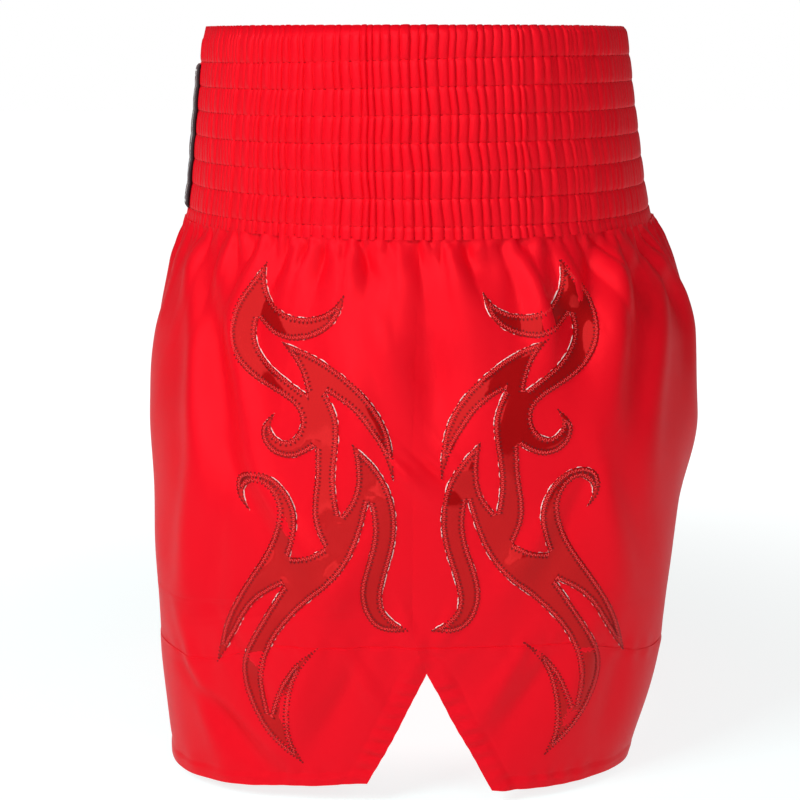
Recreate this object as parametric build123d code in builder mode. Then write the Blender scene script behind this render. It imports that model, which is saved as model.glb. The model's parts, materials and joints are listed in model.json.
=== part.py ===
from build123d import *
import math
import os

# Boxing shorts, millimetres. Origin: centre of the waist opening, in the plane of its rim.
# +Z up, +X the wearer's left, -Y the wearer's front, so the shorts hang from z = 0.

BAND_DEPTH = 101.5        # height of the elasticated waistband
CHANNELS = 7              # stitched channels, one elastic in each
CHANNEL_PITCH = 13.6      # height of one channel
CHANNEL_PUFF = 1.8        # how far a channel swells between two rows of stitches
BAND_COVER = 1.0          # gathered outer cloth of the band
ELASTIC_WIDTH = 11.6
ELASTIC_THICK = 1.2
LINING_THICK = 0.8
HEM_SEAM = 301.5          # where the hem bands are joined on, below the rim
PANEL_WALL = 1.2          # stands for 0.35 mm satin
HEM_WALL = 1.6            # hem bands are the same satin, doubled
FACING_WALL = 0.8
FACING_WIDTH = 10.0
SEAM_Y = 3.0              # side seams and inner leg seams
VENT_TOP = 315.5          # top of the side vents, below the rim
VENT_FRONT = (-26.5, -374.8)
VENT_BACK = (36.0, -378.8)
BACKING_OUT = 0.5         # white backing cloth of the cut-out decoration
VINYL_OUT = 1.3           # outer face of its gloss layer
LABEL_WIDTH = 75.0
LABEL_TOP = 14.5
LABEL_OUT = 3.0
EDGE_POINTS = 16

# Each section is an oval: depth below the rim, side reach, share of the reach taken by
# the shift towards the leg, roundness, front reach, back reach.
BAND_SECTIONS = [
    (0.0, 137, 0.0, 2.1, 117, 113),
    (50.0, 141, 0.0, 2.1, 122, 120),
    (101.5, 145, 0.0, 2.1, 128, 129),
]
BODY_SECTIONS = [
    (101.5, 145, 0.0, 2.1, 128, 129),
    (125.0, 154, 0.03, 2.15, 137, 141),
    (160.0, 163, 0.14, 2.2, 143, 150),
    (200.0, 170, 0.36, 2.3, 144, 150),
    (240.0, 173, 0.66, 2.35, 141, 142),
    (285.0, 172, 1.0, 2.35, 139, 134),
    (325.0, 168, 1.1, 2.35, 138, 128),
    (392.0, 161, 1.17, 2.35, 132, 110),
]

# Cut-out decoration, for the front half of a leg. One list per edge from corner to
# corner: millimetres forward of the side seam and above the hem seam.
MOTIF = [
    [(79, 187), (79, 176), (73, 166), (60, 162), (46, 167)],
    [(40, 174), (41, 168), (47, 158), (58, 152), (72, 152)],
    [(83, 160), (84, 150), (80, 142), (69, 133)],
    [(58, 126), (61, 136)],
    [(71, 150), (56, 145), (40, 136), (26, 122), (18, 106)],
    [(16, 86), (22, 101), (28, 110), (35, 119)],
    [(49, 128), (43, 115), (43, 101), (44, 79)],
    [(42, 68), (37, 75), (34, 86)],
    [(36, 104), (24, 92), (16, 75), (16, 53), (21, 33), (21, 21)],
    [(8, 10), (23, 10), (32, 23), (30, 43), (26, 64)],
    [(28, 76), (32, 60), (41, 41), (57, 25), (75, 3), (81, -18)],
    [(78, -38), (72, -20), (63, -7)],
    [(53, 1), (63, -13), (68, -32), (67, -51)],
    [(62, -63), (78, -49), (88, -33), (92, -14), (84, 8)],
    [(70, 32), (85, 21), (95, 4)],
    [(105, -14), (101, 6), (88, 33), (76, 54), (75, 76), (84, 82), (90, 77)],
    [(87, 67), (93, 74), (92, 84), (83, 87), (72, 82), (64, 68)],
    [(67, 46), (58, 48)],
    [(50, 52), (55, 65), (54, 86)],
    [(54, 101), (65, 95), (77, 98), (81, 107)],
    [(74, 116), (76, 108), (70, 103), (62, 109), (62, 117), (72, 125), (89, 134), (97, 146), (96, 162), (88, 176)],
]
MOTIF_CENTRE = (59.0, 75.5)
BACK_TURN = 2.6           # degrees, the back cut-out leans outwards
BACK_MOVE = (-9.0, 2.0)

os.makedirs("parts", exist_ok=True)


def oval(section, inset):
    depth, reach, share, power, front, back = section
    half_x = reach / (1 + share)
    middle_x = share * half_x
    half_x = half_x - inset
    half_y = (front + back) / 2 - inset
    middle_y = (back - front) / 2
    points = []
    for step in range(EDGE_POINTS):
        angle = 2 * math.pi * step / EDGE_POINTS
        c = math.cos(angle)
        s = math.sin(angle)
        radius = (abs(c) ** power + abs(s) ** power) ** (-1 / power)
        points.append((middle_x + half_x * radius * c, middle_y + half_y * radius * s))
    return points


def at_depth(depth):
    for low, high in zip(BAND_SECTIONS, BAND_SECTIONS[1:]):
        if depth <= high[0]:
            t = (depth - low[0]) / (high[0] - low[0])
            return (depth,) + tuple(a + (b - a) * t for a, b in zip(low[1:], high[1:]))
    return BAND_SECTIONS[-1]


def tube(sections, inset):
    with BuildPart() as made:
        for section in sections:
            with BuildSketch(Plane.XY.offset(-section[0])):
                with BuildLine():
                    Spline(*oval(section, inset), periodic=True)
                make_face()
        loft()
    return made.part


def shell(outside, inside):
    with BuildPart() as made:
        add(outside)
        add(inside, mode=Mode.SUBTRACT)
    return made.part


# ---------------------------------------------------------------- waistband

rows = [CHANNEL_PITCH * number for number in range(CHANNELS + 1)]
swollen = []
for depth in rows[:-1]:
    swollen.append((depth, 0.0))
    swollen.append((depth + 3.0, CHANNEL_PUFF))
    swollen.append((depth + CHANNEL_PITCH - 3.0, CHANNEL_PUFF))
swollen.append((rows[CHANNELS], 0.0))
swollen.append((BAND_DEPTH, 0.0))

with BuildPart() as band_outline:
    for depth, puff in swollen:
        with BuildSketch(Plane.XY.offset(-depth)):
            with BuildLine():
                Spline(*oval(at_depth(depth), -puff), periodic=True)
            make_face()
    loft(ruled=True)

band_straight = [at_depth(depth) for depth in (0.0, 50.0, BAND_DEPTH)]
core_out = BAND_COVER
core_in = BAND_COVER + ELASTIC_THICK
lining_in = core_in + LINING_THICK

band_cover_inside = tube(band_straight, core_out)

with BuildPart() as waistband_outer:
    add(band_outline.part)
    add(band_cover_inside, mode=Mode.SUBTRACT)
waistband_outer.part.label = "waistband_outer"
export_step(waistband_outer.part, "parts/waistband_outer.step")

elastic_core = shell(band_cover_inside, tube(band_straight, core_in))
elastics = []
for number in range(CHANNELS):
    middle = rows[number] + CHANNEL_PITCH / 2
    with BuildPart() as waist_elastic:
        with BuildSketch(Plane.XY.offset(-middle - ELASTIC_WIDTH / 2)):
            Rectangle(400, 400)
        extrude(amount=ELASTIC_WIDTH)
        add(elastic_core, mode=Mode.INTERSECT)
    node = "waist_elastic_" + str(number + 1)
    waist_elastic.part.label = node
    export_step(waist_elastic.part, "parts/" + node + ".step")
    elastics.append(waist_elastic.part)

with BuildPart() as waistband_lining:
    add(shell(band_cover_inside, tube(band_straight, lining_in)))
    for elastic in elastics:
        add(elastic, mode=Mode.SUBTRACT)
waistband_lining.part.label = "waistband_lining"
export_step(waistband_lining.part, "parts/waistband_lining.step")

with BuildPart() as front_label:
    with BuildSketch(Plane.XZ):
        with Locations((0, -(LABEL_TOP + rows[CHANNELS]) / 2)):
            Rectangle(LABEL_WIDTH, rows[CHANNELS] - LABEL_TOP - 1)
    extrude(amount=200)
    add(tube(band_straight, -LABEL_OUT), mode=Mode.INTERSECT)
    add(band_outline.part, mode=Mode.SUBTRACT)
front_label.part.label = "front_label"
export_step(front_label.part, "parts/front_label.step")

# ---------------------------------------------------------------- legs

leg_outside = tube(BODY_SECTIONS, 0)
hem_inside = tube(BODY_SECTIONS, HEM_WALL)
backing_outside = tube(BODY_SECTIONS, -BACKING_OUT)
panel_shell = shell(leg_outside, tube(BODY_SECTIONS, PANEL_WALL))
hem_shell = shell(leg_outside, hem_inside)
facing_shell = shell(hem_inside, tube(BODY_SECTIONS, HEM_WALL + FACING_WALL))
backing_shell = shell(backing_outside, leg_outside)
vinyl_shell = shell(tube(BODY_SECTIONS, -VINYL_OUT), backing_outside)


def half_block(low, high, front):
    with BuildPart() as block:
        with BuildSketch(Plane.XY.offset(-low)):
            with Locations((100, SEAM_Y - 100 if front else SEAM_Y + 100)):
                Rectangle(200, 200)
        extrude(amount=low - high)
    return block.part


with BuildPart() as hem_limit:
    with BuildSketch(Plane.YZ):
        with BuildLine():
            Polyline((-170, -386), (-170, -250), (170, -250), (170, -385))
            Spline((170, -385), (95, -382.5), (62, -380.5), VENT_BACK, VENT_FRONT, (-50, -376), (-92, -379), (-170, -386))
        make_face()
    extrude(amount=200)

with BuildPart() as vent_cut:
    with BuildSketch(Plane.YZ.offset(90)):
        with BuildLine():
            Spline((SEAM_Y, -VENT_TOP), (-6.5, -336), VENT_FRONT)
            Polyline(VENT_FRONT, (VENT_FRONT[0] - 3, -395), (VENT_BACK[0] + 3, -395), VENT_BACK)
            Spline(VENT_BACK, (14.5, -338), (SEAM_Y, -VENT_TOP))
        make_face()
    extrude(amount=120)

with BuildPart() as facing_zone:
    with BuildSketch(Plane.YZ.offset(90)):
        with BuildLine():
            Spline((SEAM_Y, -VENT_TOP + 8), (-17, -333), (VENT_FRONT[0] - FACING_WIDTH, -372))
            Polyline((VENT_FRONT[0] - FACING_WIDTH, -372), (VENT_BACK[0] + FACING_WIDTH, -375))
            Spline((VENT_BACK[0] + FACING_WIDTH, -375), (25, -335), (SEAM_Y, -VENT_TOP + 8))
        make_face()
    extrude(amount=120)


def cut_out(front):
    turn = 0 if front else math.radians(BACK_TURN)
    move = (0, 0) if front else BACK_MOVE
    side = -1 if front else 1

    def spot(point):
        u = point[0] - MOTIF_CENTRE[0]
        v = point[1] - MOTIF_CENTRE[1]
        a = MOTIF_CENTRE[0] + move[0] + u * math.cos(turn) - v * math.sin(turn)
        b = MOTIF_CENTRE[1] + move[1] + u * math.sin(turn) + v * math.cos(turn)
        return (SEAM_Y + side * a, b - HEM_SEAM)

    with BuildPart() as prism:
        with BuildSketch(Plane.YZ.offset(88)):
            with BuildLine():
                for number, edge in enumerate(MOTIF):
                    after = MOTIF[(number + 1) % len(MOTIF)][0]
                    Spline(*[spot(point) for point in edge + [after]])
            make_face()
        extrude(amount=120)
    return prism.part


def send_out(part, name):
    part.label = name
    export_step(part, "parts/" + name + ".step")


for front, word in ((True, "front"), (False, "back")):
    with BuildPart() as panel:
        add(panel_shell)
        add(half_block(HEM_SEAM, BAND_DEPTH, front), mode=Mode.INTERSECT)
    send_out(panel.part, "left_" + word + "_panel")

    with BuildPart() as right_panel:
        mirror(panel.part, about=Plane.YZ)
    send_out(right_panel.part, "right_" + word + "_panel")

    with BuildPart() as hem_band:
        add(hem_shell)
        add(half_block(392, HEM_SEAM, front), mode=Mode.INTERSECT)
        add(hem_limit.part, mode=Mode.INTERSECT)
        add(vent_cut.part, mode=Mode.SUBTRACT)
    send_out(hem_band.part, "left_" + word + "_hem_band")

    with BuildPart() as right_hem_band:
        mirror(hem_band.part, about=Plane.YZ)
    send_out(right_hem_band.part, "right_" + word + "_hem_band")

    with BuildPart() as facing:
        add(facing_shell)
        add(half_block(392, HEM_SEAM, front), mode=Mode.INTERSECT)
        add(hem_limit.part, mode=Mode.INTERSECT)
        add(facing_zone.part, mode=Mode.INTERSECT)
        add(vent_cut.part, mode=Mode.SUBTRACT)
    send_out(facing.part, "left_" + word + "_vent_facing")

    with BuildPart() as right_facing:
        mirror(facing.part, about=Plane.YZ)
    send_out(right_facing.part, "right_" + word + "_vent_facing")

    prism = cut_out(front)
    with BuildPart() as backing:
        add(backing_shell)
        add(prism, mode=Mode.INTERSECT)
    send_out(backing.part, "left_" + word + "_backing")

    with BuildPart() as right_backing:
        mirror(backing.part, about=Plane.YZ)
    send_out(right_backing.part, "right_" + word + "_backing")

    with BuildPart() as vinyl:
        add(vinyl_shell)
        add(prism, mode=Mode.INTERSECT)
    send_out(vinyl.part, "left_" + word + "_applique")

    with BuildPart() as right_vinyl:
        mirror(vinyl.part, about=Plane.YZ)
    send_out(right_vinyl.part, "right_" + word + "_applique")
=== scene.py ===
import json
import math

import bpy
import numpy as np
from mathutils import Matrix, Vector
from mathutils.bvhtree import BVHTree
from mathutils.geometry import delaunay_2d_cdt
from mathutils.kdtree import KDTree

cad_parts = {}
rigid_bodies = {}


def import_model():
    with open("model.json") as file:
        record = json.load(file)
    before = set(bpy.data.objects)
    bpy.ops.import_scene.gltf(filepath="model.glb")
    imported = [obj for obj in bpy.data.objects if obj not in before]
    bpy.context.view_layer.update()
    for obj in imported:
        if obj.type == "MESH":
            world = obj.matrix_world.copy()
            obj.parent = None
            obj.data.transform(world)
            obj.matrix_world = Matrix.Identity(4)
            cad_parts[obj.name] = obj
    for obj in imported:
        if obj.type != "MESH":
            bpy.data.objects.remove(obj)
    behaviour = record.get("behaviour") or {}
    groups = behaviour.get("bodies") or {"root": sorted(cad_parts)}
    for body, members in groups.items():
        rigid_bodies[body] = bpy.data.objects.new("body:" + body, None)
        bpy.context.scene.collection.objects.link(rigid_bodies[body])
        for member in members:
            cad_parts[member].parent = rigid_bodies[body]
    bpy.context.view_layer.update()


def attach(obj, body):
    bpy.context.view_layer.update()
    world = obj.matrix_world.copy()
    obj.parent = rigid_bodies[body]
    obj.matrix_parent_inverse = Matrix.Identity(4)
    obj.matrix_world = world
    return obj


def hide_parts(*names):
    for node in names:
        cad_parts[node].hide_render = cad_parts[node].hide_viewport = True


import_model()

MM = 0.001

# --- sizes, mm
BAND_DEPTH = 101.5
CHANNELS = 7
CHANNEL_PITCH = 13.6
LAST_ROW = CHANNELS * CHANNEL_PITCH
CHANNEL_PUFF = 0.42
RIM_DIP = 4.5
PLEATS = 172
PLEAT_DEPTH = 1.55
WAIST_ROUND = 830
HEM_SEAM = 301.5
SEAM_DROP = 14
SEAM_Y = 3.0
VENT_TOP = 315.5
VENT_Y = 3.2
VENT_FRONT = [(VENT_Y, VENT_TOP), (-1.0, 324.0), (-6.8, 336.0), (-16.5, 356.0), (-26.5, 374.8)]
VENT_BACK = [(VENT_Y, VENT_TOP), (8.0, 324.0), (14.2, 337.0), (25.0, 357.0), (36.0, 378.8)]
HEM_EDGE = [(-150, 385.0), (-92, 379.3), (-50, 376.6), (-26.5, 374.8), (36, 378.8), (62, 380.6),
            (95, 382.6), (130, 384.5)]
INNER_RISE = 17
HEM_TURN = 6.5
VENT_STRIP = 10.0
VENT_STITCHES = 11.3
PANEL_CLOTH, HEM_CLOTH, STRIP_CLOTH = 0.6, 0.9, 0.4
FILM, LABEL_CLOTH, BRAID = 0.5, 0.9, 0.7

# depth below the rim, side reach, share of the reach taken by the shift to the leg,
# roundness, front reach, back reach
SECTIONS = np.array([
    (0.0, 137, 0.0, 2.1, 117, 113),
    (50.0, 141, 0.0, 2.1, 122, 120),
    (101.5, 145, 0.0, 2.1, 128, 129),
    (125.0, 154, 0.03, 2.15, 137, 141),
    (160.0, 163, 0.14, 2.2, 143, 150),
    (200.0, 170, 0.36, 2.3, 144, 150),
    (240.0, 173, 0.66, 2.35, 141, 142),
    (285.0, 172, 1.0, 2.35, 139, 134),
    (325.0, 168, 1.1, 2.35, 138, 128),
    (392.0, 161, 1.17, 2.35, 132, 110),
])

# Cut-out decoration for the front half of a leg: one list per edge, corner to corner,
# in mm forward of the side seam and above the hem seam.
MOTIF = [
    [(79, 187), (79, 176), (73, 166), (60, 162), (46, 167)],
    [(40, 174), (41, 168), (47, 158), (58, 152), (72, 152)],
    [(83, 160), (84, 150), (80, 142), (69, 133)],
    [(58, 126), (61, 136)],
    [(71, 150), (56, 145), (40, 136), (26, 122), (18, 106)],
    [(16, 86), (22, 101), (28, 110), (35, 119)],
    [(49, 128), (43, 115), (43, 101), (44, 79)],
    [(42, 68), (37, 75), (34, 86)],
    [(36, 104), (24, 92), (16, 75), (16, 53), (21, 33), (21, 21)],
    [(8, 10), (23, 10), (32, 23), (30, 43), (26, 64)],
    [(28, 76), (32, 60), (41, 41), (57, 25), (75, 3), (81, -18)],
    [(78, -38), (72, -20), (63, -7)],
    [(53, 1), (63, -13), (68, -32), (67, -51)],
    [(62, -63), (78, -49), (88, -33), (92, -14), (84, 8)],
    [(70, 32), (85, 21), (95, 4)],
    [(105, -14), (101, 6), (88, 33), (76, 54), (75, 76), (84, 82), (90, 77)],
    [(87, 67), (93, 74), (92, 84), (83, 87), (72, 82), (64, 68)],
    [(67, 46), (58, 48)],
    [(50, 52), (55, 65), (54, 86)],
    [(54, 101), (65, 95), (77, 98), (81, 107)],
    [(74, 116), (76, 108), (70, 103), (62, 109), (62, 117), (72, 125), (89, 134), (97, 146), (96, 162),
     (88, 176)],
]
MOTIF_CENTRE = (59.0, 75.5)
BACK_TURN = math.radians(2.6)
BACK_MOVE = (-8.5, 2.0)


# --- numbers
def monotone(x, xs, ys):
    """Smooth curve through the given points that never swings past them."""
    xs, ys, x = np.asarray(xs, float), np.asarray(ys, float), np.asarray(x, float)
    h = np.diff(xs)
    slope = np.diff(ys) / h
    m = np.zeros(len(xs))
    same = slope[:-1] * slope[1:] > 0
    w1, w2 = 2 * h[1:] + h[:-1], h[1:] + 2 * h[:-1]
    with np.errstate(divide="ignore", invalid="ignore"):
        inner = (w1 + w2) / (w1 / slope[:-1] + w2 / slope[1:])
    m[1:-1][same] = inner[same]
    m[0], m[-1] = slope[0], slope[-1]
    i = np.clip(np.searchsorted(xs, x) - 1, 0, len(xs) - 2)
    t = (x - xs[i]) / h[i]
    return (ys[i] * (1 + 2 * t) * (1 - t) ** 2 + m[i] * h[i] * t * (1 - t) ** 2
            + ys[i + 1] * t * t * (3 - 2 * t) - m[i + 1] * h[i] * t * t * (1 - t))


def ring_noise(x, count, seed):
    """Smooth noise in -1..1 that closes on itself; x runs once round in 0..1."""
    values = np.random.default_rng(seed).uniform(-1, 1, count)
    x = (np.asarray(x) % 1.0) * count
    i = np.floor(x).astype(int)
    t = x - i
    t = t * t * (3 - 2 * t)
    return values[i % count] * (1 - t) + values[(i + 1) % count] * t


def drape_noise(g, level, count, seed):
    """ring_noise that changes smoothly from one level to the next."""
    level = np.clip(level, 0, 11.999)
    k = np.floor(level)
    f = level - k
    f = f * f * (3 - 2 * f)
    out = 0.0
    for i in range(12):
        weight = np.where(k == i, 1 - f, 0.0) + np.where(k == i - 1, f, 0.0)
        out = out + weight * ring_noise(g, count, seed + i)
    return out


def rib(x):
    """Round ridges with sharp valleys between them, in -1..1, one to a whole number."""
    return 2 * np.abs(np.sin(math.pi * x)) ** 0.8 - 1.15


def field_noise(p, size, seed):
    """Smooth noise in about -1..1 at points p (..., 3), with features of about size."""
    rng = np.random.default_rng(seed)
    total = np.zeros(p.shape[:-1])
    for _ in range(9):
        way = rng.normal(size=3)
        way *= 2 * math.pi / (size * rng.uniform(1.4, 2.6)) / np.linalg.norm(way)
        total += np.sin(p @ way + rng.uniform(0, 6.283)
                        + 0.8 * np.sin(p @ np.roll(way, 1) * 0.7 + rng.uniform(0, 6.283)))
    return total / 4.5


def bump(x, middle, width):
    return np.exp(-((x - middle) / width) ** 2)


def fade(x, low, high):
    t = np.clip((x - low) / (high - low), 0, 1)
    return t * t * (3 - 2 * t)


def unit(v):
    return v / np.maximum(np.linalg.norm(v, axis=-1, keepdims=True), 1e-9)


def run_along(points):
    """Distance along a row of points, from its start."""
    return np.r_[0, np.cumsum(np.linalg.norm(np.diff(points, axis=0), axis=1))]


def lengths(grid, axis):
    """Distance along each row or column of a grid of points, from its start."""
    step = np.linalg.norm(np.diff(grid, axis=axis), axis=-1)
    return np.insert(np.cumsum(step, axis=axis), 0, 0, axis=axis)


def point_at(at, run, points):
    """The point or points that far along a row of points."""
    return np.stack([np.interp(at, run, points[:, k]) for k in range(points.shape[1])], -1)


def natural_curve(points, step):
    """Points about step apart on a smooth curve through the given ones."""
    p = np.array(points, float)
    d = run_along(p)
    n = max(2, int(round(d[-1] / step)) + 1)
    s = np.linspace(0, d[-1], n)
    if len(p) == 2:
        return point_at(s, d, p)
    k = len(p)
    h = np.diff(d)
    a = np.zeros((k, k))
    a[0, 0] = a[-1, -1] = 1
    rhs = np.zeros((k, 2))
    for i in range(1, k - 1):
        a[i, i - 1:i + 2] = h[i - 1], 2 * (h[i - 1] + h[i]), h[i]
        rhs[i] = 6 * ((p[i + 1] - p[i]) / h[i] - (p[i] - p[i - 1]) / h[i - 1])
    curve = np.linalg.solve(a, rhs)
    i = np.clip(np.searchsorted(d, s) - 1, 0, k - 2)
    hi = h[i][:, None]
    t = (s - d[i])[:, None]
    r = hi - t
    return (curve[i] * r ** 3 / (6 * hi) + curve[i + 1] * t ** 3 / (6 * hi)
            + (p[i] / hi - curve[i] * hi / 6) * r + (p[i + 1] / hi - curve[i + 1] * hi / 6) * t)


# --- the leg's surface
DEPTHS = np.arange(0, 393.0, 1.0)
AROUND = 361


def build_table():
    columns = [monotone(DEPTHS, SECTIONS[:, 0], SECTIONS[:, i]) for i in range(1, 6)]
    reach, share, power, front, back = columns
    half_x = reach / (1 + share)
    mid_x = share * half_x
    half_y, mid_y = (front + back) / 2, (back - front) / 2
    k = np.clip(share, 0, 1)
    end = np.arctan2((1 - k ** power) ** (1 / power), -k)
    table = np.zeros((len(DEPTHS), AROUND, 2))
    for i in range(len(DEPTHS)):
        angle = np.linspace(-end[i], end[i], 1441)
        c, s = np.cos(angle), np.sin(angle)
        r = (np.abs(c) ** power[i] + np.abs(s) ** power[i]) ** (-1 / power[i])
        x, y = mid_x[i] + half_x[i] * r * c, mid_y[i] + half_y[i] * r * s
        run = np.r_[0, np.cumsum(np.hypot(np.diff(x), np.diff(y)))]
        at = np.linspace(0, run[-1], AROUND)
        table[i, :, 0] = np.maximum(np.interp(at, run, x), 0)
        table[i, :, 1] = np.interp(at, run, y)
    return table


TABLE = build_table()


def leg_point(u, depth):
    """Left leg, mm: u runs 0..1 from the front middle round the outside to the back."""
    u, depth = np.broadcast_arrays(np.clip(u, 0, 1), np.clip(depth, 0, DEPTHS[-1] - 1e-6))
    a = u * (AROUND - 1)
    i = np.clip(a.astype(int), 0, AROUND - 2)
    j = np.clip(depth.astype(int), 0, len(DEPTHS) - 2)
    fu, fd = (a - i)[..., None], (depth - j)[..., None]
    xy = ((TABLE[j, i] * (1 - fu) + TABLE[j, i + 1] * fu) * (1 - fd)
          + (TABLE[j + 1, i] * (1 - fu) + TABLE[j + 1, i + 1] * fu) * fd)
    z = -depth - RIM_DIP * fade(-xy[..., 1], -70, 110) * np.clip(1 - depth / LAST_ROW, 0, 1) ** 1.3
    return np.concatenate([xy, z[..., None]], -1)


def u_at(y, depth):
    """Where the outside of the leg passes y at that depth."""
    y, depth = np.broadcast_arrays(np.asarray(y, float), np.asarray(depth, float))
    out = np.zeros(y.shape)
    us = np.linspace(0, 1, AROUND)
    low, high = int(AROUND * 0.14), int(AROUND * 0.86)
    for idx in np.ndindex(y.shape):
        d = min(depth[idx], DEPTHS[-1] - 1)
        j = int(d)
        row = TABLE[j] * (1 - d + j) + TABLE[j + 1] * (d - j)
        out[idx] = np.interp(y[idx], row[low:high, 1], us[low:high])
    return out


def hem_depth(p):
    """Depth of the bottom edge at points of the left leg; it rises on the inner side."""
    e = np.array(HEM_EDGE)
    level = monotone(np.clip(p[:, 1], e[0, 0], e[-1, 0]), e[:, 0], e[:, 1])
    return level - INNER_RISE * fade(-p[:, 0], -85, -25)


def side_line(depth, front):
    """y of the edge of a front or back half: the side seam, then the vent."""
    e = np.array(VENT_FRONT if front else VENT_BACK)
    seam_y = monotone(depth, [100, 200, 290, VENT_TOP], [SEAM_Y - 4, SEAM_Y - 7, SEAM_Y - 7, VENT_Y])
    vent_y = monotone(np.maximum(depth, VENT_TOP), e[:, 1], e[:, 0])
    lap = 0.4 * (1 - fade(depth, VENT_TOP - 3, VENT_TOP)) if front else 0.0
    return np.where(depth <= VENT_TOP, seam_y + lap, vent_y)


COLUMNS = 172
ROWS_BODY = 132
ROWS_HEM = 48


def half_leg(front):
    """Grid for a front or back half of the left leg: (rows, columns) of u and depth."""
    w = np.linspace(0, 1, COLUMNS + 1)
    t = np.linspace(0, 1, ROWS_BODY + 1)
    edges = np.arange(BAND_DEPTH, 392, 1.0)
    u_edge = u_at(side_line(edges, front), edges)

    def u_for(depth):
        edge = np.interp(depth, edges, u_edge)
        return edge * w if front else edge + (1 - edge) * w

    level = np.full(COLUMNS + 1, HEM_SEAM)
    from_side = np.abs(leg_point(u_for(level), level)[:, 1] - SEAM_Y)
    seam = HEM_SEAM + SEAM_DROP * fade(from_side, 68, 122)
    bottom = np.full(COLUMNS + 1, 378.0)
    for _ in range(6):
        bottom = hem_depth(leg_point(u_for(bottom), bottom))
    depth = [BAND_DEPTH + (seam - BAND_DEPTH) * f for f in 0.82 * t + 0.18 * t * t]
    depth += [seam + (bottom - seam) * f for f in np.linspace(0, 1, ROWS_HEM + 1)[1:]]
    return np.array([u_for(d) for d in depth]), np.array(depth)


def grid_normals(p):
    return unit(np.cross(np.gradient(p, axis=0), np.gradient(p, axis=1)))


# --- mesh helpers
def loop_values(mesh, what):
    out = np.zeros(len(mesh.loops), int)
    mesh.loops.foreach_get(what, out)
    return out


def make_mesh(name, verts, faces, uv, mats, kinds=None, smooth=True):
    """An object from points in mm, with cloth coordinates in mm and a material per face."""
    mesh = bpy.data.meshes.new(name)
    points = np.asarray(verts, float).reshape(-1, 3) * MM
    mesh.from_pydata(points.tolist(), [], [list(map(int, f)) for f in faces])
    if uv is not None:
        layer = mesh.uv_layers.new(name="cloth")
        corners = np.asarray(uv, np.float32).reshape(-1, 2)[loop_values(mesh, "vertex_index")]
        layer.data.foreach_set("uv", corners.ravel())
    for m in mats:
        mesh.materials.append(m)
    if kinds is not None:
        mesh.polygons.foreach_set("material_index", np.asarray(kinds, np.int32))
    mesh.polygons.foreach_set("use_smooth", np.full(len(mesh.polygons), smooth))
    mesh.update()
    obj = bpy.data.objects.new(name, mesh)
    bpy.context.scene.collection.objects.link(obj)
    return obj


def grid_faces(rows, cols, wrap=False, flip=False, start=0):
    a = np.arange(rows - 1)[:, None] * cols + np.arange(cols if wrap else cols - 1)
    b = np.arange(rows - 1)[:, None] * cols + (np.arange(cols if wrap else cols - 1) + 1) % cols
    quads = np.stack([a, b, b + cols, a + cols], -1).reshape(-1, 4) + start
    return quads[:, ::-1] if flip else quads


def thicken(obj, amount, offset=-1.0):
    """Give a sheet its thickness in mm, with crisp open edges."""
    edges = obj.data.edges
    used = np.bincount(loop_values(obj.data, "edge_index"), minlength=len(edges))
    edges.foreach_set("use_edge_sharp", used == 1)
    m = obj.modifiers.new("cloth_thickness", "SOLIDIFY")
    m.thickness = amount * MM
    m.offset = offset
    m.use_even_offset = False


def settle(obj, slot, *replaced):
    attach(obj, "root")
    if replaced:
        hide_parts(*replaced)


def mirror_points(p):
    return p * np.array([-1.0, 1.0, 1.0])


# --- materials
def set_inputs(node, **values):
    """Set inputs by their names, with _ for a space."""
    for label, value in values.items():
        node.inputs[label.replace("_", " ")].default_value = value
    return node


def add_node(tree, kind, **values):
    return set_inputs(tree.nodes.new("ShaderNode" + kind), **values)


def math_node(tree, operation, a, b=None):
    n = tree.nodes.new("ShaderNodeMath")
    n.operation = operation
    for socket, value in zip(n.inputs, (a, b)):
        if isinstance(value, (int, float)):
            socket.default_value = value
        elif value is not None:
            tree.links.new(value, socket)
    return n.outputs[0]


def group(name, inputs, outputs):
    tree = bpy.data.node_groups.new(name, "ShaderNodeTree")
    for label, kind, value in inputs:
        tree.interface.new_socket(label, in_out="INPUT", socket_type=kind).default_value = value
    for label, kind in outputs:
        tree.interface.new_socket(label, in_out="OUTPUT", socket_type=kind)
    return tree, tree.nodes.new("NodeGroupInput"), tree.nodes.new("NodeGroupOutput")


def weave_group():
    """Satin weave from the cloth coordinates, which are in millimetres."""
    tree, gin, gout = group("satin_weave", [("Threads per mm", "NodeSocketFloat", 2.2),
                                            ("Unevenness", "NodeSocketFloat", 0.5)],
                            [("Height", "NodeSocketFloat"), ("Slub", "NodeSocketFloat")])
    link = tree.links.new
    coord = add_node(tree, "UVMap")
    coord.uv_map = "cloth"
    split = add_node(tree, "SeparateXYZ")
    link(coord.outputs[0], split.inputs[0])
    waves = []
    for axis, factor in ((0, 6.2832), (1, 3.1416)):
        scaled = math_node(tree, "MULTIPLY", split.outputs[axis], gin.outputs[0])
        waves.append(math_node(tree, "SINE", math_node(tree, "MULTIPLY", scaled, factor)))
    weave = math_node(tree, "MULTIPLY", waves[0], waves[1])
    stretch = add_node(tree, "VectorMath")
    stretch.operation = "MULTIPLY"
    stretch.inputs[1].default_value = (1.1, 0.06, 1.0)
    link(coord.outputs[0], stretch.inputs[0])
    slub = add_node(tree, "TexNoise", Scale=1.0, Detail=3.0)
    link(stretch.outputs[0], slub.inputs["Vector"])
    uneven = math_node(tree, "MULTIPLY", slub.outputs["Fac"], gin.outputs[1])
    link(math_node(tree, "ADD", math_node(tree, "MULTIPLY", weave, 0.35), uneven), gout.inputs[0])
    link(slub.outputs["Fac"], gout.inputs[1])
    return tree


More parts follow.
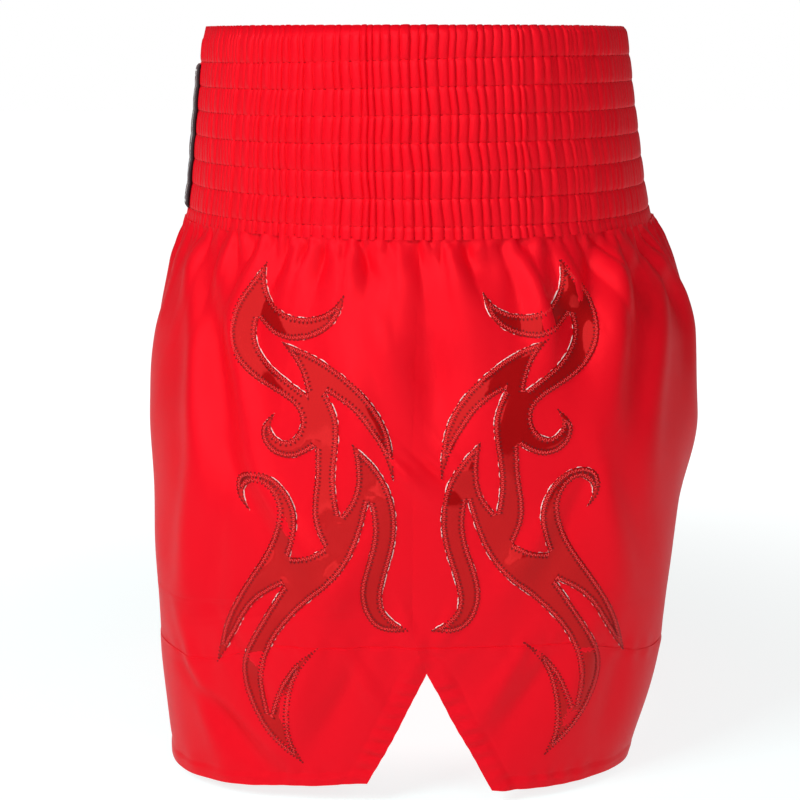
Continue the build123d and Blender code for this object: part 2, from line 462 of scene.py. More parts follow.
def tone_group():
    """Slow colour change over cloth or film, in object space."""
    white = (1, 1, 1, 1)
    tree, gin, gout = group("uneven_tone", [("Scale", "NodeSocketFloat", 18.0),
                                            ("Amount", "NodeSocketFloat", 0.12),
                                            ("Colour", "NodeSocketColor", white),
                                            ("Second colour", "NodeSocketColor", white)],
                            [("Colour", "NodeSocketColor")])
    link = tree.links.new
    noise = add_node(tree, "TexNoise", Detail=4.0)
    link(add_node(tree, "TexCoord").outputs["Object"], noise.inputs["Vector"])
    link(gin.outputs["Scale"], noise.inputs["Scale"])
    mask = add_node(tree, "MapRange", From_Min=0.3, From_Max=0.7)
    link(noise.outputs["Fac"], mask.inputs["Value"])
    mix = add_node(tree, "Mix")
    mix.data_type = "RGBA"
    link(math_node(tree, "MULTIPLY", mask.outputs[0], gin.outputs["Amount"]), mix.inputs["Factor"])
    link(gin.outputs["Colour"], mix.inputs[6])
    link(gin.outputs["Second colour"], mix.inputs[7])
    link(mix.outputs[2], gout.inputs[0])
    return tree


WEAVE = weave_group()
TONE = tone_group()


def add_group(tree, group_tree, **values):
    n = tree.nodes.new("ShaderNodeGroup")
    n.node_tree = group_tree
    return set_inputs(n, **values)


def toned_material(name, colour, second, scale, amount):
    """A new material with an uneven base colour: (material, its nodes, its surface)."""
    mat = bpy.data.materials.new(name)
    mat.use_nodes = True
    tree = mat.node_tree
    surface = tree.nodes["Principled BSDF"]
    tone = add_group(tree, TONE, Scale=scale, Amount=amount, Colour=(*colour, 1), Second_colour=(*second, 1))
    tree.links.new(tone.outputs["Colour"], surface.inputs["Base Color"])
    return mat, tree, surface


def add_bump(tree, surface, height, strength, distance):
    bumped = add_node(tree, "Bump", Strength=strength, Distance=distance)
    tree.links.new(height, bumped.inputs["Height"])
    tree.links.new(bumped.outputs[0], surface.inputs["Normal"])


def cloth_material(name, colour, second, roughness, sheen, relief, threads=2.2, specular=0.35, lustre=0.0):
    mat, tree, surface = toned_material(name, colour, second, 14.0, 0.6)
    weave = add_group(tree, WEAVE, Threads_per_mm=threads, Unevenness=0.5)
    rough = add_node(tree, "MapRange", To_Min=roughness - 0.05, To_Max=roughness + 0.06)
    tree.links.new(weave.outputs["Slub"], rough.inputs["Value"])
    tree.links.new(rough.outputs[0], surface.inputs["Roughness"])
    add_bump(tree, surface, weave.outputs["Height"], relief, 0.0003)
    set_inputs(surface, Metallic=lustre, Specular_IOR_Level=specular, Specular_Tint=(1.0, 0.7, 0.72, 1),
               Sheen_Weight=sheen, Sheen_Roughness=0.4, Sheen_Tint=(1.0, 0.06, 0.1, 1))
    return mat


def plain_material(name, colour, second, roughness, scale=60.0):
    mat, _, surface = toned_material(name, colour, second, scale, 0.5)
    set_inputs(surface, Roughness=roughness)
    return mat


def vinyl_material():
    mat, tree, surface = toned_material("red_gloss_vinyl", (0.62, 0.004, 0.006), (0.56, 0.003, 0.005),
                                        30.0, 0.5)
    grain = add_node(tree, "TexNoise", Scale=900.0, Detail=2.0)
    tree.links.new(add_node(tree, "TexCoord").outputs["Object"], grain.inputs["Vector"])
    add_bump(tree, surface, grain.outputs["Fac"], 0.04, 0.0002)
    set_inputs(surface, Metallic=0.5, Specular_IOR_Level=0.35, Roughness=0.09)
    return mat


RED = (0.92, 0.0030, 0.0150)
SATIN = cloth_material("red_satin", RED, (0.88, 0.0024, 0.0120), 0.38, 0.02, 0.35,
                       specular=0.18, lustre=0.22)
BAND_SATIN = cloth_material("red_band_satin", RED, (0.87, 0.0024, 0.0120), 0.40, 0.02, 0.3,
                            specular=0.18, lustre=0.22)
LINING = cloth_material("red_lining", (0.62, 0.004, 0.01), (0.55, 0.003, 0.008), 0.7, 0.1, 0.5, 1.6)
# zigzag thread: its red lifted lighter and pinker as a painted glint
THREAD_AND_GLINT = cloth_material("red_thread_and_glint", (0.88, 0.03, 0.035), (0.92, 0.07, 0.075), 0.4, 0.1, 0.2, specular=0.3)
# seam thread: its red darkened as painted shade of the sunken stitch lines
SEAM_THREAD_AND_SHADE = cloth_material("red_seam_thread_and_shade", (0.5, 0.002, 0.006), (0.58, 0.004, 0.008), 0.5, 0.05, 0.2,
                             specular=0.1)
PALE_CLOTH = cloth_material("pale_backing", (0.84, 0.62, 0.60), (0.88, 0.76, 0.74), 0.8, 0.1, 0.4)
# painted shade: dark colour for the discs that stand for the needle holes
HOLE_SHADE = plain_material("needle_hole_shade", (0.13, 0.0, 0.002), (0.2, 0.001, 0.003), 0.9)
LABEL_BLACK = cloth_material("label_black", (0.012, 0.012, 0.014), (0.03, 0.03, 0.034), 0.55, 0.15, 0.6, 1.5)
LABEL_PALE = plain_material("label_border_thread", (0.75, 0.74, 0.72), (0.6, 0.6, 0.6), 0.6)
ELASTIC = plain_material("elastic_braid", (0.72, 0.71, 0.68), (0.6, 0.6, 0.58), 0.8, 400.0)
VINYL = vinyl_material()


# --- waistband
def band_ring(g, depth):
    """Point and outward direction on the waistband; g runs -0.5..0.5 from the front."""
    g = ((g + 0.5) % 1.0) - 0.5
    u = np.abs(g) * 2
    hand = np.where(g >= 0, 1, -1)
    p = leg_point(u, depth)
    p[..., 0] *= hand
    e = 0.002
    t = leg_point(np.clip(u + e, 0, 1), depth) - leg_point(np.clip(u - e, 0, 1), depth)
    n = unit(np.stack([t[..., 1], -t[..., 0], 0 * t[..., 0]], -1))
    n[..., 0] *= hand
    return p, n


# how far a pleat stands out along its width: a slow rise, a fold, a steep return
PLEAT_SHAPE = [(0.0, 0.0), (0.09, 0.52), (0.26, 0.82), (0.48, 0.97), (0.70, 1.0), (0.86, 0.86),
               (0.95, 0.42)]
BAND_COLUMNS = PLEATS * len(PLEAT_SHAPE)


def pleat_lines(depth):
    """g and pleat height for every column of the band, at an array of depths."""
    rng = np.random.default_rng(31)
    fraction = np.tile([f for f, _ in PLEAT_SHAPE], PLEATS)
    shape = np.tile([h for _, h in PLEAT_SHAPE], PLEATS)
    index = np.repeat(np.arange(PLEATS), len(PLEAT_SHAPE))
    width = rng.uniform(0.66, 1.34, PLEATS)
    width *= 1 + 0.25 * ring_noise(np.arange(PLEATS) / PLEATS, 13, 32)
    width *= PLEATS / width.sum()
    starts = np.r_[0, np.cumsum(width)]
    size = rng.uniform(0.6, 1.3, (PLEATS, CHANNELS + 1)) * 0.4 + 0.6 * rng.uniform(0.4, 1.4, (PLEATS, 1))
    aside = np.abs(np.abs(np.arange(PLEATS) / PLEATS - 0.5) * 2 - 0.5) * 2
    size *= (1.12 - 0.62 * fade(aside, 0.25, 0.85))[:, None]
    shift = rng.uniform(-0.09, 0.09, (PLEATS + 1, CHANNELS + 2))
    shift[-1] = shift[0]
    around = np.arange(PLEATS + 1) / PLEATS
    shift += 0.14 * np.stack([ring_noise(around, 17, 200 + c) for c in range(CHANNELS + 2)], 1)
    gs, heights = [], []
    for d in np.atleast_1d(depth):
        c = min(d / CHANNEL_PITCH, CHANNELS + 0.999)
        k = int(c)
        f = c - k
        ease = f * f * (3 - 2 * f)
        move = shift[:, k] * (1 - ease) + shift[:, min(k + 1, CHANNELS + 1)] * ease
        line = starts + move
        at = line[index] * (1 - fraction) + line[index + 1] * fraction
        gs.append(at / PLEATS - 0.5)
        heights.append(shape * size[index, k])
    return np.array(gs), np.array(heights)


def band_swell(depth):
    """(channel swell, how far the pleats open) at a depth."""
    within = (depth % CHANNEL_PITCH) / CHANNEL_PITCH
    puff = np.sin(math.pi * within) ** 0.55
    strip = fade(depth, LAST_ROW, LAST_ROW + 0.5)
    puff = puff * (1 - strip) + strip * 0.5
    opened = 0.55 + 0.45 * np.clip(np.sin(math.pi * within) * 2.6, 0, 1)
    opened = opened * (1 - strip) + 0.85 * strip
    return CHANNEL_PUFF * puff, opened


def build_band_cover():
    within = (0.0, 0.03, 0.10, 0.25, 0.5, 0.75, 0.90, 0.97)
    levels = [(c + f) * CHANNEL_PITCH for c in range(CHANNELS) for f in within]
    levels[0] = 0.02
    levels += [LAST_ROW, LAST_ROW + 0.6, LAST_ROW + 2.6, LAST_ROW + 4.6, BAND_DEPTH]
    gg, pleats = pleat_lines(levels)
    dd = np.repeat(np.array(levels)[:, None], BAND_COLUMNS, 1)
    p, n = band_ring(gg, dd)
    swell, opened = band_swell(dd)
    swell = swell * (1 + 0.15 * ring_noise(gg, 37, 5))
    out = p + n * (0.3 + swell + PLEAT_DEPTH * opened * pleats)[..., None]
    # the cloth turns over the rim to the inside
    rim = []
    base, nr = band_ring(gg[:1], np.zeros_like(gg[:1]))
    top = PLEAT_DEPTH * 0.6 * pleats[:1]
    for inward, up in ((-3.3, -5.0), (-3.1, -1.0), (-2.3, 0.7), (-0.9, 1.3)):
        q = base + nr * (inward + 0.45 * top)[..., None]
        q[..., 2] = up + 0.4 * top
        rim.append(q)
    verts = np.concatenate([np.concatenate(rim), out])
    across = WAIST_ROUND * (gg + 0.5)
    rim_down = np.array([-9, -6, -4, -2])[:, None] + 0 * across[:1]
    rim_uv = np.stack([np.repeat(across[:1], 4, 0), rim_down], -1)
    uv = np.concatenate([rim_uv, np.stack([across, dd], -1)])
    faces = grid_faces(len(verts), BAND_COLUMNS, wrap=True, flip=True)
    obj = make_mesh("waistband_cover", verts, faces, uv, [BAND_SATIN])
    settle(obj, "waistband_satin", "waistband_outer")


def build_band_lining():
    cols = 860
    g = np.linspace(-0.5, 0.5, cols, endpoint=False)
    depth = np.concatenate([np.linspace(-0.5, LAST_ROW, 57), [LAST_ROW + 3, BAND_DEPTH + 0.5]])
    gg, dd = np.meshgrid(g, np.maximum(depth, 0))
    p, n = band_ring(gg, dd)
    within = (dd % CHANNEL_PITCH) / CHANNEL_PITCH
    puff = np.sin(math.pi * within) ** 0.7
    phase = 2 * math.pi * (PLEATS * 0.75 * gg + 0.6 * ring_noise(gg, 47, 81))
    p = p - n * (2.6 + 0.8 * puff + 0.45 * np.abs(np.cos(phase / 2)) * (0.4 + 0.6 * puff))[..., None]
    obj = make_mesh("waistband_inside", p, grid_faces(len(depth), cols, wrap=True),
                    np.stack([800 * gg, dd], -1), [LINING])
    settle(obj, "lining_cloth", "waistband_lining")


def stitches(name, runs, length, gap, radius, slot):
    """Short thread stitches along runs of (points, outward directions), in mm, in a thread darkened as
    painted shade of the stitch line.
    """
    verts, faces = [], []
    for points, outward in runs:
        run = run_along(points)
        count = int(run[-1] / (length + gap))
        for s in (np.arange(count) + 0.5) * run[-1] / count:
            line = point_at(s + length * np.array((-0.5, -0.3, 0.3, 0.5)), run, points)
            up = unit(point_at(s, run, outward))
            side = np.cross(up, unit(line[-1] - line[0]))
            base = len(verts)
            for q, h, w in zip(line, (-0.35, 0.75, 0.75, -0.35), (0.35, 1.0, 1.0, 0.35)):
                c = q + up * h * radius
                verts.extend([c + side * radius * w, c + up * radius * w * 0.9,
                              c - side * radius * w, c - up * radius * w * 0.6])
            for k in range(3):
                for j in range(4):
                    a, b = base + 4 * k + j, base + 4 * k + (j + 1) % 4
                    faces.append((a, b, b + 4, a + 4))
            faces.append((base + 3, base + 2, base + 1, base))
            faces.append((base + 12, base + 13, base + 14, base + 15))
    settle(make_mesh(name, verts, faces, None, [SEAM_THREAD_AND_SHADE]), slot)


build_band_cover()
build_band_lining()
band_runs = []
for at in [row * CHANNEL_PITCH for row in range(1, CHANNELS + 1)] + [BAND_DEPTH - 1.1]:
    g, pleats = pleat_lines([at - 0.02])
    order = np.argsort(g[0])
    g, pleats = g[0][order], pleats[0][order]
    p, n = band_ring(g, np.full_like(g, at))
    smooth = np.convolve(np.r_[pleats[-3:], pleats, pleats[:3]], np.ones(7) / 7, "valid")
    band_runs.append((p + n * (0.32 + PLEAT_DEPTH * 0.42 * np.maximum(smooth, pleats * 0.9))[:, None], n))
stitches("waistband_stitches", band_runs, 2.3, 0.8, 0.24, "waistband_satin")


# --- body cloth
CREASES = 120
FOLD_STRENGTH = 1.7


def seam_creases(across, below):
    """Short crisp creases that the gathering leaves right under the waist seam."""
    rng = np.random.default_rng(77)
    out = np.zeros(across.shape)
    half = WAIST_ROUND / 2
    for i in range(CREASES):
        middle = (i + rng.uniform(0.15, 0.85)) * WAIST_ROUND / CREASES - half
        length = 5 + 24 * rng.uniform() ** 2
        lean = rng.uniform(-0.4, 0.4)
        width = rng.uniform(1.3, 2.3)
        deep = rng.uniform(0.5, 1.0) * (0.8 + length / 16)
        off = (across - middle - lean * below + half) % WAIST_ROUND - half
        fall = 1 - fade(below, 0.25 * length, length)
        away = off / (width * (1 + below / 14))
        out += deep * fall * (np.exp(-away ** 2) - 0.35 * np.exp(-((away - 1.9) / 1.1) ** 2))
    return out


def cloth_folds(u, depth, p, side):
    """How far the cloth stands out from the smooth shape, in mm."""
    g = side * u / 2
    below = np.maximum(depth - BAND_DEPTH, 0)
    sway = 7.0 * drape_noise(g, below / 45, 19, 300) + 1.6 * drape_noise(g, below / 20, 53, 320)
    g = g + sway / WAIST_ROUND
    amount = np.clip(0.72 + 0.55 * drape_noise(g, below / 40, 21, 340), 0.12, 1.3)
    amount = amount * (0.62 + 0.38 * fade(u, 0.16, 0.42))
    short = 3.5 + 3.0 * (1 + ring_noise(g, 67, 104))
    middling = 12 + 10 * (1 + ring_noise(g, 31, 105))
    long = 34 + 28 * (1 + ring_noise(g, 19, 106))
    fine = 0.8 * rib(131 * g) * np.exp(-below / short)
    mid = 1.95 * rib(71 * g) * np.exp(-below / middling) * fade(below, 0, 5)
    wide = 2.9 * np.cos(2 * math.pi * 33 * g) * np.exp(-(below / long) ** 1.4) * fade(below, 1, 14)
    widest = 2.4 * np.cos(2 * math.pi * 14 * g) * np.exp(-(below / (2.2 * long)) ** 1.6) * fade(below, 8, 40)
    out = amount * (fine + mid + wide + widest)
    out -= seam_creases(g * WAIST_ROUND, below)
    out += 2.6 * field_noise(p * (1.0, 1.0, 0.62), 62, 7) * fade(below, 15, 80)
    out += 0.6 * field_noise(p * (1.0, 1.0, 0.7), 26, 8) * fade(below, 15, 60)
    return out


# soft folds in fixed places: middle y and z, lean, height, half width, half length
FOLDS = [
    (-112, -185, 0.10, 2.6, 7, 62), (-99, -178, 0.17, -3.0, 8, 52), (-86, -195, 0.20, 1.6, 8, 44),
    (5, -172, 0.05, -2.4, 12, 30), (-20, -150, 0.30, 1.4, 10, 26), (-6, -214, 0.9, 1.5, 5, 12),
    (7, -212, 1.1, -1.5, 4, 11), (16, -206, 0.8, 1.0, 5, 12),
    (60, -132, 0.12, 1.7, 6, 26), (48, -130, 0.10, -1.6, 6, 24), (98, -140, -0.06, 3.0, 7, 40),
    (84, -136, -0.10, -2.4, 6, 34), (110, -150, -0.12, -2.2, 6, 44), (122, -165, -0.10, 2.2, 6, 46),
    (-60, -250, 0.55, 1.8, 9, 34), (-78, -238, 0.60, -1.6, 8, 30), (-34, -262, -0.50, 1.2, 9, 26),
    (52, -256, -0.60, 1.5, 9, 30), (70, -240, -0.50, -1.2, 9, 28), (28, -234, 0.40, -1.3, 11, 24),
    (95, -245, 0.20, 1.6, 9, 46), (-118, -262, -0.10, 2.0, 7, 46), (-104, -268, -0.14, -1.8, 7, 40),
    (-110, -336, 0.30, 2.0, 6, 34), (-94, -352, 0.9, -2.8, 9, 26), (-84, -322, 0.55, -1.4, 7, 26),
    (-62, -330, -0.35, 1.5, 8, 30), (-44, -338, -0.45, -1.6, 8, 30), (-26, -322, 0.50, 1.4, 5, 18),
    (40, -322, -0.55, 1.6, 6, 22), (52, -330, -0.60, -1.5, 7, 26), (74, -334, -0.30, 1.4, 9, 34),
    (98, -340, -0.15, -1.5, 8, 34), (-6, -292, 0.25, 1.3, 4, 14), (12, -294, -0.25, 1.3, 4, 14),
]


def folds_by_hand(p, side):
    """Soft folds in fixed places on each side."""
    y, z = p[..., 1], p[..., 2]
    out = np.zeros(y.shape)
    outside = fade(p[..., 0] * side, 40, 80)
    for mid_y, mid_z, lean, height, half_width, half_length in FOLDS:
        away = z - mid_z
        line = mid_y - lean * away
        width = half_width * (1 + 0.4 * np.clip(-away / half_length, -0.8, 1))
        out += FOLD_STRENGTH * height * bump(y, line, width) * bump(away, 0, half_length)
    return out * outside


def seam_marks(depth, p, front, seam):
    """Seams press the cloth in along their line, with small puckers beside them."""
    y = p[..., 1]
    from_side = np.abs(y - side_line(depth, front))
    on_body = (depth < VENT_TOP) & (p[..., 0] > 60)
    out = np.where(on_body, -0.12 * np.exp(-(from_side / 1.3) ** 2), 0.0)
    pucker = np.where(on_body, 0.3 * np.exp(-(from_side / 7) ** 2) * ring_noise(depth / 400, 47, 61), 0)
    out = out + pucker * fade(depth, 110, 130)
    from_hem = depth - seam
    out -= 0.15 * np.exp(-(from_hem / 1.2) ** 2)
    out += 0.12 * fade(from_hem, 0.5, 2.0)
    wave = np.cos(y / 1.9 + 2.2 * np.sin(y / 9))
    out += 0.42 * np.exp(-(from_hem / 6) ** 2) * wave * fade(np.abs(from_hem), 0.4, 1.5)
    return out


def hem_marks(depth, p, front, bottom):
    """Turned strips along the bottom edge and the vent, puckered by their stitches."""
    y = p[..., 1]
    up = bottom - depth
    out = 0.6 * (1 - fade(up, HEM_TURN - 0.8, HEM_TURN + 0.8))
    out -= 0.5 * np.exp(-((up - HEM_TURN) / 0.9) ** 2)
    out += 0.45 * np.exp(-((up - HEM_TURN) / 4.5) ** 2) * np.cos(y / 2.0 + 2.0 * np.sin(y / 11))
    e = np.array(VENT_FRONT if front else VENT_BACK)
    edge_y = monotone(np.clip(depth, VENT_TOP, 384), e[:, 1], e[:, 0])
    # 0.87 turns a distance along y into one square to the slanting edge
    away = np.where(depth < VENT_TOP, np.hypot(y - VENT_Y, depth - VENT_TOP), np.abs(y - edge_y) * 0.87)
    strip = (p[..., 0] > 60) & (depth > VENT_TOP - 12)
    step = 0.6 * (1 - fade(away, VENT_STRIP - 0.9, VENT_STRIP + 0.9))
    step -= 0.4 * np.exp(-((away - VENT_STRIP) / 1.1) ** 2)
    turned = 2 * math.pi * (depth + 0.3 * away) / 7.2 + 2.4 * ring_noise(depth / 400, 21, 75 + front)
    ripple = (0.6 + 0.4 * ring_noise(depth / 400, 37, 71 + front)) * np.cos(turned)
    ripple = ripple * np.exp(-((away - 5.0) / 4.6) ** 2) * fade(depth, VENT_TOP, VENT_TOP + 5)
    return out + np.where(strip, step + ripple, 0.0)


def cloth_patch(front, side):
    """Half of a leg: depth, smooth points on the left, finished points on the given side."""
    u, depth = half_leg(front)
    p = leg_point(u, depth)
    n = grid_normals(p)
    if n[5, COLUMNS // 2, 0] <= 0:
        n = -n
    world = p if side > 0 else mirror_points(p)
    high = cloth_folds(u, depth, world, side) + folds_by_hand(world, side)
    high = high * (0.25 + 0.75 * fade(p[..., 0], 0.0, 12.0))
    high = high * (1 - 0.15 * fade(depth, HEM_SEAM - 22, HEM_SEAM + 6))
    y = p[..., 1]
    near_vent = np.hypot(y - 3, (depth - VENT_TOP + 4) * 0.8)
    high += 0.9 * np.exp(-(near_vent / 16) ** 2) * np.sin(y / 3.1 + 0.11 * depth) * fade(p[..., 0], 50, 80)
    high += 0.9 * np.exp(-(depth - BAND_DEPTH) / 10)
    high += seam_marks(depth, p, front, depth[ROWS_BODY]) + hem_marks(depth, p, front, depth[-1][None, :])
    q = p + n * high[..., None]
    q[..., 0] = np.where(p[..., 0] <= 0.01, 0.0, np.maximum(q[..., 0], 0.05))
    return depth, p, q if side > 0 else mirror_points(q)


SIDES = (("left", 1), ("right", -1))
HALVES = (("front", True), ("back", False))
patches = {}
for side_name, side in SIDES:
    for half_name, front in HALVES:
        depth, p, q = cloth_patch(front, side)
        uv = np.stack([lengths(p, 1) + (0 if front else 300), lengths(q, 0)], -1)
        patches[side_name, half_name] = depth, q
        half = f"{side_name}_{half_name}"
        for part, node, slot, rows, thickness, under in (
                ("cloth", "panel", "body_satin", slice(0, ROWS_BODY + 1), PANEL_CLOTH, "waistband_cover"),
                ("hem", "hem_band", "hem_satin", slice(ROWS_BODY, None), HEM_CLOTH, f"{half}_cloth")):
            cloth = q[rows]
            obj = make_mesh(f"{half}_{part}", cloth, grid_faces(len(cloth), COLUMNS + 1, flip=side < 0),
                            uv[rows], [SATIN])
            thicken(obj, thickness)
            settle(obj, slot, f"{half}_{node}")


# --- cut-out decoration
FIELD_STEP = 2.0
STITCH_PITCH = 1.9
THREAD_RADIUS = 0.2


def height_field(side_name, side):
    """Smoothed outer surface of one side, as |x| over a y, depth grid in mm."""
    verts, faces = [], []
    for half_name, _ in HALVES:
        _, q = patches[side_name, half_name]
        faces.append(grid_faces(len(q), COLUMNS + 1, start=sum(map(len, verts))))
        verts.append(q.reshape(-1, 3))
    tree = BVHTree.FromPolygons(np.concatenate(verts).tolist(), np.concatenate(faces).tolist())
    ys = np.arange(-124, 126, FIELD_STEP)
    zs = np.arange(-384, -102, FIELD_STEP)
    field = np.full((len(zs), len(ys)), np.nan)
    for i, z in enumerate(zs):
        for j, y in enumerate(ys):
            hit = tree.ray_cast(Vector((side * 400, y, z)), Vector((-side, 0, 0)))[0]
            if hit is not None and abs(hit.x) > 95:
                field[i, j] = abs(hit.x)
    for _ in range(60):
        if not np.isnan(field).any():
            break
        padded = np.pad(field, 1, constant_values=np.nan)
        near = np.stack([padded[1:-1, :-2], padded[1:-1, 2:], padded[:-2, 1:-1], padded[2:, 1:-1]])
        with np.errstate(all="ignore"):
            mean = np.nanmean(near, 0)
        field = np.where(np.isnan(field), mean, field)
    soft = field.copy()
    for _ in range(5):
        padded = np.pad(soft, 1, mode="edge")
        soft = (padded[1:-1, :-2] + padded[1:-1, 2:] + padded[:-2, 1:-1] + padded[2:, 1:-1] + 4 * soft) / 8
    return ys, zs, soft


def sample_field(field, y, z):
    ys, zs, f = field
    a = np.clip((y - ys[0]) / FIELD_STEP, 1, len(ys) - 2.001)
    b = np.clip((z - zs[0]) / FIELD_STEP, 1, len(zs) - 2.001)
    i, j = b.astype(int), a.astype(int)
    t, s = a - j, b - i

    def cubic(t):
        return [-0.5 * t + t * t - 0.5 * t ** 3, 1 - 2.5 * t * t + 1.5 * t ** 3,
                0.5 * t + 2 * t * t - 1.5 * t ** 3, -0.5 * t * t + 0.5 * t ** 3]

    out = 0
    for di, wi in zip((-1, 0, 1, 2), cubic(s)):
        for dj, wj in zip((-1, 0, 1, 2), cubic(t)):
            out = out + wi * wj * f[np.clip(i + di, 0, len(zs) - 1), np.clip(j + dj, 0, len(ys) - 1)]
    return out


def on_side(field, side, yz, lift):
    """Points lifted off the side of the shorts, mm."""
    y, z = yz[:, 0], yz[:, 1]
    x = sample_field(field, y, z)
    e = 1.5
    gy = (sample_field(field, y + e, z) - sample_field(field, y - e, z)) / (2 * e)
    gz = (sample_field(field, y, z + e) - sample_field(field, y, z - e)) / (2 * e)
    n = unit(np.stack([np.ones_like(gy), -gy, -gz], -1))
    p = np.stack([x, y, z], -1) + n * lift[:, None]
    p[:, 0] *= side
    n[:, 0] *= side
    return p, n


def motif_outline(front, step):
    turn = 0 if front else BACK_TURN
    move = (0, 0) if front else BACK_MOVE
    way = -1 if front else 1
    points = []
    for i, edge in enumerate(MOTIF):
        after = MOTIF[(i + 1) % len(MOTIF)][0]
        points.append(natural_curve(edge + [after], step)[:-1])
    p = np.concatenate(points) - MOTIF_CENTRE
    c, s = math.cos(turn), math.sin(turn)
    p = np.stack([p[:, 0] * c - p[:, 1] * s, p[:, 0] * s + p[:, 1] * c], -1) + MOTIF_CENTRE + move
    out = np.stack([SEAM_Y + way * p[:, 0], p[:, 1] - HEM_SEAM], -1)
    if signed_area(out) < 0:
        out = out[::-1]
    return out


def signed_area(p):
    q = np.roll(p, -1, 0)
    return float((p[:, 0] * q[:, 1] - q[:, 0] * p[:, 1]).sum() / 2)


def inward(p):
    t = unit(np.roll(p, -1, 0) - np.roll(p, 1, 0))
    return np.stack([-t[:, 1], t[:, 0]], -1)


def kd(points):
    tree = KDTree(len(points))
    for i, q in enumerate(points):
        tree.insert((q[0], q[1], 0), i)
    tree.balance()
    return tree


def from_edge(tree, points):
    return np.array([tree.find((v[0], v[1], 0))[2] for v in points])


def inside_mask(points, ring):
    x, y = points[:, 0], points[:, 1]
    hits = np.zeros(len(points), bool)
    a, b = ring, np.roll(ring, -1, 0)
    for (x1, y1), (x2, y2) in zip(a, b):
        cross = (y1 > y) != (y2 > y)
        with np.errstate(divide="ignore", invalid="ignore"):
            at = x1 + (y - y1) * (x2 - x1) / (y2 - y1)
        hits ^= cross & (x < at)
    return hits


def film_height(away):
    """Height of the film above the smoothed side, at a distance from its cut edge."""
    return 0.6 + 0.5 * (1 - np.exp(-away / 0.4)) - 0.16 * np.exp(-((away - 2.4) / 0.6) ** 2)


def build_cut_out(side_name, side, half_name, front, field):
    half = f"{side_name}_{half_name}"
    tree = kd(motif_outline(front, 0.5))
    ring = motif_outline(front, 1.25)
    into = inward(ring)
    points = [ring]
    for d in (0.45, 1.0, 1.7, 2.4, 3.2):
        q = ring + into * d
        points.append(q[(from_edge(tree, q) > 0.94 * d) & inside_mask(q, ring)])
    lo, hi = ring.min(0), ring.max(0)
    gx, gy = np.meshgrid(np.arange(lo[0], hi[0], 2.0), np.arange(lo[1], hi[1], 2.0))
    gx = gx + (np.arange(gx.shape[0]) % 2)[:, None] * 1.0
    inner = np.stack([gx.ravel(), gy.ravel()], -1)
    inner = inner[inside_mask(inner, ring)]
    points.append(inner[from_edge(tree, inner) > 4.0])
    edges = [(i, (i + 1) % len(ring)) for i in range(len(ring))]
    corners = [Vector(v) for v in np.concatenate(points)]
    flat, _, faces = delaunay_2d_cdt(corners, edges, [list(range(len(ring)))], 1, 1e-4)[:3]
    flat = np.array([tuple(v) for v in flat])
    faces = [f[::-1] if side < 0 else f for f in faces if len(f) >= 3]
    away = from_edge(tree, flat)
    # a different place in the noise for each of the four cut-outs
    place = np.c_[flat, np.full(len(flat), side * 31.0 + (5 if front else 60))]
    lift = film_height(away) + 0.28 * field_noise(place, 17, 300) * fade(away, 1.0, 5.0)
    lift += 0.10 * field_noise(place, 7, 301) * fade(away, 0.8, 4.0)
    vinyl = make_mesh(f"{half}_vinyl", on_side(field, side, flat, lift)[0], faces, flat, [VINYL])
    thicken(vinyl, FILM)
    settle(vinyl, "gloss_vinyl", f"{half}_applique")

    # pale edge of the backing cloth, showing more along some stretches than others
    ring = motif_outline(front, 0.8)
    into = inward(ring)
    t = np.linspace(0, 1, len(ring), endpoint=False)
    facing = -into[:, 0] * 0.45 * (1 if front else -1) - into[:, 1] * 0.55
    show = 0.56 * facing - 0.12 + 0.22 * ring_noise(t, 90, 400 + side) + 0.45 * ring_noise(t, 900, 401)
    show = np.clip(show, -0.3, 0.4)
    ahead = ring + into * 0.9
    tip = (from_edge(tree, ring - into * 0.6) < 0.5) | (from_edge(tree, ahead) < 0.75)
    tip |= ~inside_mask(ahead, ring)
    show = np.where(tip, np.minimum(show, 0.0), show)
    layers = [on_side(field, side, ring + into * d[:, None], np.full(len(ring), h))[0]
              for d, h in ((-show, 0.15), (-show, 0.74), (np.where(tip, 0.05, 0.7), 0.66))]
    uv = [np.c_[t * 1500, np.full(len(t), k)] for k in range(3)]
    backing = make_mesh(f"{half}_vinyl_backing", layers, grid_faces(3, len(ring), wrap=True, flip=side > 0),
                        uv, [PALE_CLOTH])
    settle(backing, "backing_cloth", f"{half}_backing")
    build_zigzag(half, side, front, field, tree)


